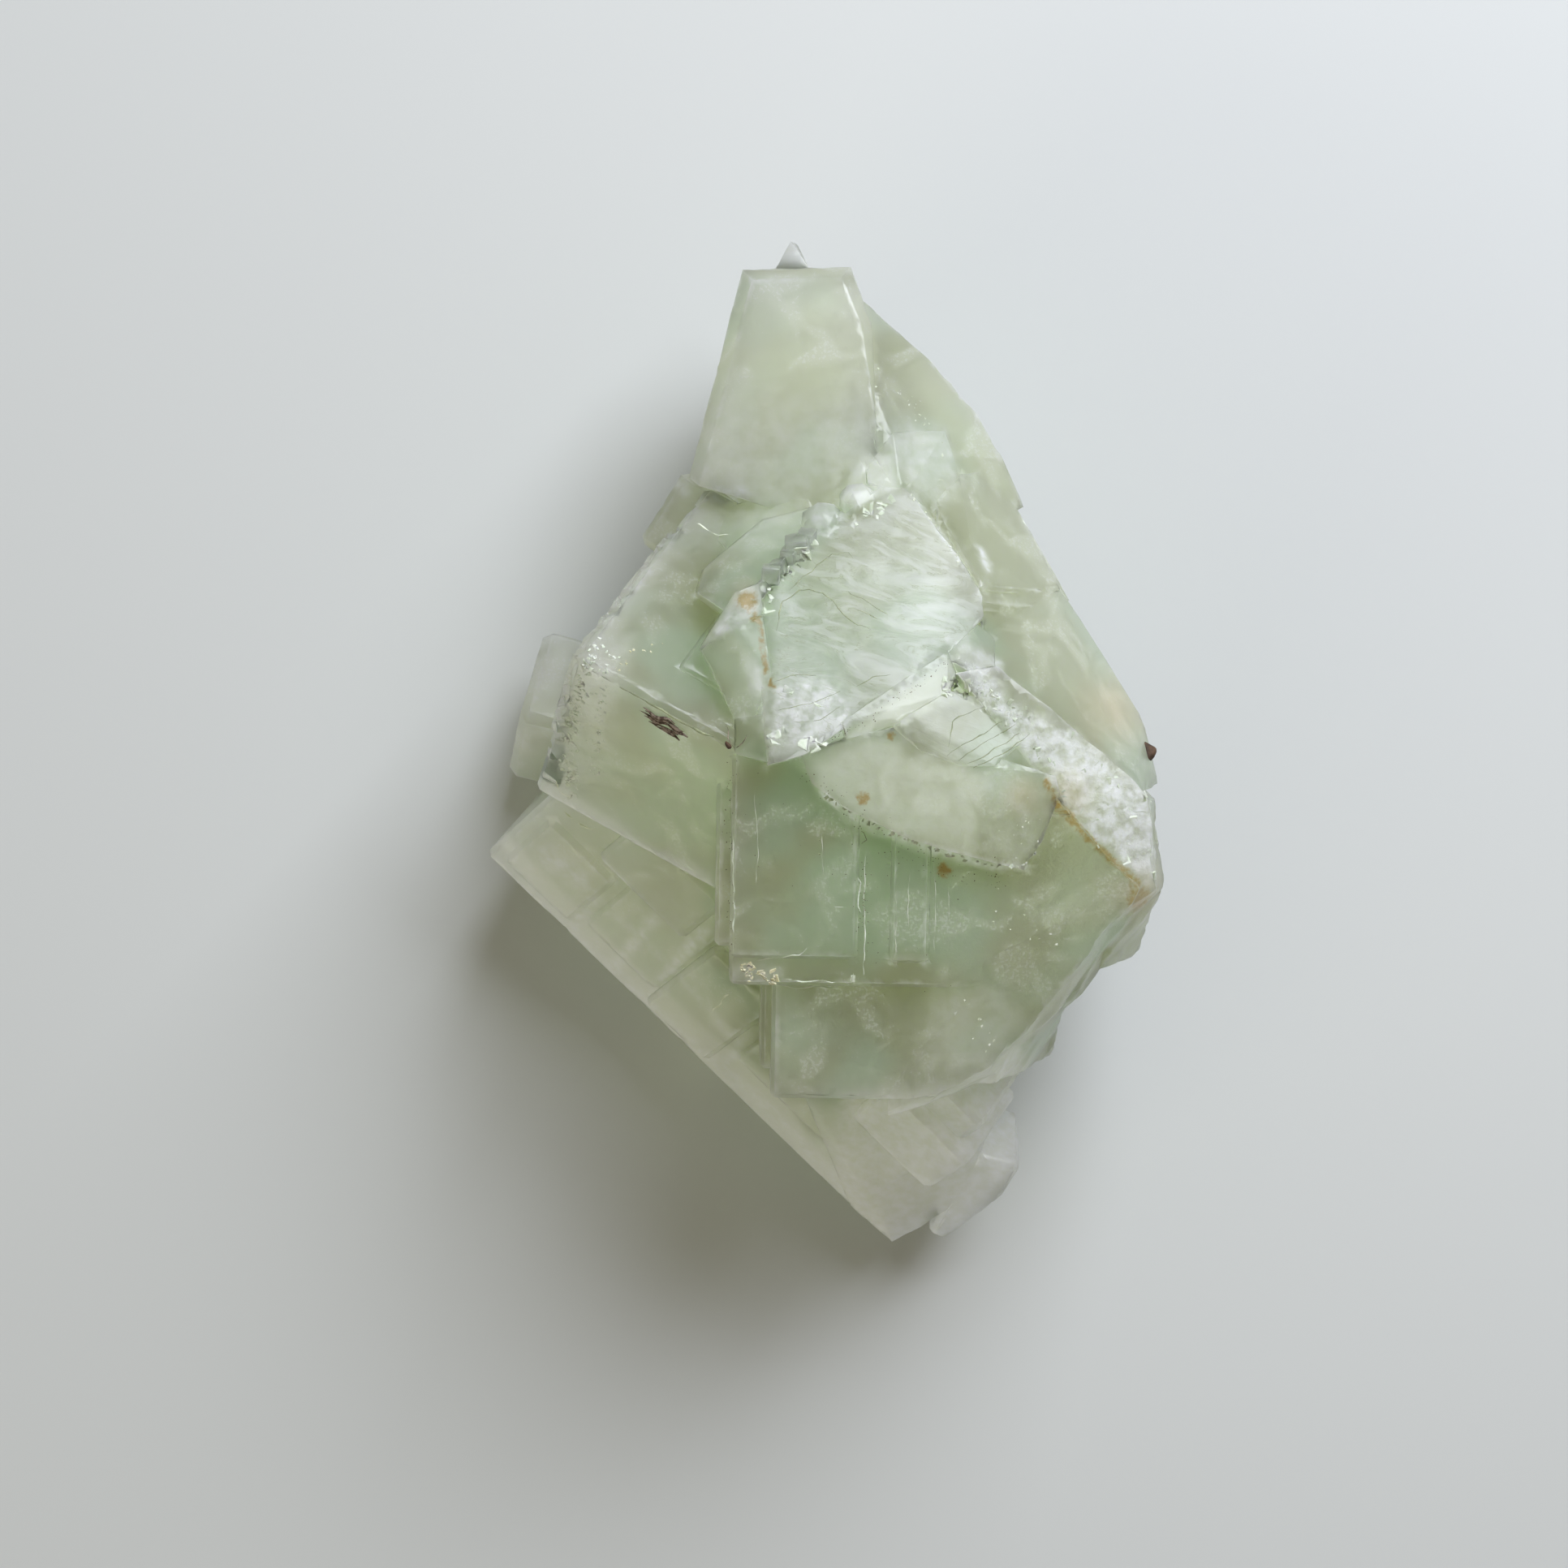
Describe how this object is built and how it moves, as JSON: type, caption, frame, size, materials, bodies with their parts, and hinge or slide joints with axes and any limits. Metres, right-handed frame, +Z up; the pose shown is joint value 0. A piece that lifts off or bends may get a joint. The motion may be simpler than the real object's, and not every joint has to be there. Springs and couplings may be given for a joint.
{
  "type": "fluorite crystal cluster",
  "caption": "Pale green fluorite cluster of intergrown cubes with a flat-topped front cube, a cleaved crown, a sloping lower slab, a back blade and a broken flat base.",
  "frame": {"origin": "under the middle of the cluster's bounding box, on the plane that it stands on", "axes": "+Y from the low front foot to the tall back blade, +X to the rough shoulder, +Z up from the broken base"},
  "size_m": [0.0404, 0.0618, 0.0309],
  "materials": {
    "fluorite": "clear to hazy crystal with frosted edges and silky broken faces"
  },
  "bodies": {
    "root": {"fluorite_cluster": "fluorite"}
  },
  "joints": []
}
